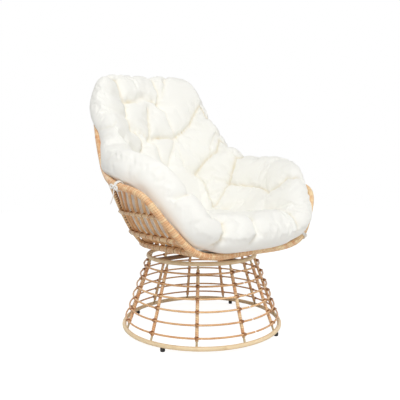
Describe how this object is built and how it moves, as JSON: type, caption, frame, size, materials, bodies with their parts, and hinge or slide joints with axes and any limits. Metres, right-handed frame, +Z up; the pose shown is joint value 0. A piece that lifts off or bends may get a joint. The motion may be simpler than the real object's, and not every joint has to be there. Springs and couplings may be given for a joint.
{
  "type": "papasan chair",
  "caption": "Swivel papasan lounge chair: a rattan bucket seat with a tufted off-white cushion, turning on a conical cage base of steel rings and rattan hoops.",
  "frame": {"origin": "on the floor, under the middle of the chair's overall box", "axes": "+Z up; -Y is the way the sitter faces; +X is on the right of someone who stands in front and looks at the chair"},
  "size_m": [0.9124, 0.841, 1.0721],
  "materials": {
    "rattan": "satin varnish",
    "painted_steel": "satin",
    "dark_steel": "satin",
    "bolt_steel": "plain",
    "foot_plastic": "matte",
    "canvas": "plain weave"
  },
  "bodies": {
    "base": {"base_ring_bottom": "painted_steel", "base_ring_top": "painted_steel", "base_upright_1": "rattan", "base_upright_2": "rattan", "base_upright_3": "rattan", "base_upright_4": "rattan", "base_upright_5": "rattan", "base_upright_6": "rattan", "base_upright_7": "rattan", "base_upright_8": "rattan", "base_upright_9": "rattan", "base_upright_10": "rattan", "base_upright_11": "rattan", "base_hoop_1": "rattan", "base_hoop_2": "rattan", "base_hoop_3": "rattan", "base_hoop_4": "rattan", "base_hoop_5": "rattan", "base_hoop_6": "rattan", "foot_1": "foot_plastic", "foot_2": "foot_plastic", "foot_3": "foot_plastic", "foot_4": "foot_plastic", "base_cross": "dark_steel", "swivel_plate_lower": "dark_steel", "swivel_bearing_lower": "bolt_steel", "pivot_bolt": "bolt_steel"},
    "seat": {"rim_right": "rattan", "rim_left": "rattan", "seat_hoop_low": "rattan", "seat_hoop_middle": "rattan", "seat_hoop_top": "rattan", "seat_cross": "dark_steel", "side_rib_right_1": "rattan", "side_rib_right_2": "rattan", "side_rib_right_3": "rattan", "side_rib_right_4": "rattan", "side_rib_right_5": "rattan", "side_rib_right_6": "rattan", "side_rib_right_7": "rattan", "side_rib_left_1": "rattan", "side_rib_left_2": "rattan", "side_rib_left_3": "rattan", "side_rib_left_4": "rattan", "side_rib_left_5": "rattan", "side_rib_left_6": "rattan", "side_rib_left_7": "rattan", "back_post_right": "rattan", "back_post_left": "rattan", "back_lattice": "rattan", "swivel_plate_upper": "dark_steel", "swivel_bearing_upper": "bolt_steel", "seat_floor": "rattan", "cushion": "canvas", "tie_rear_right": "canvas", "tie_rear_right_tail": "canvas", "tie_rear_left": "canvas", "tie_rear_left_tail": "canvas", "tie_front_right": "canvas"}
  },
  "joints": [
    {"name": "seat_swivel", "type": "hinge", "parent": "base", "child": "seat", "pos_m": [0, -0.05994, 0.31], "axis": [0, 0, 1], "continuous": true}
  ]
}
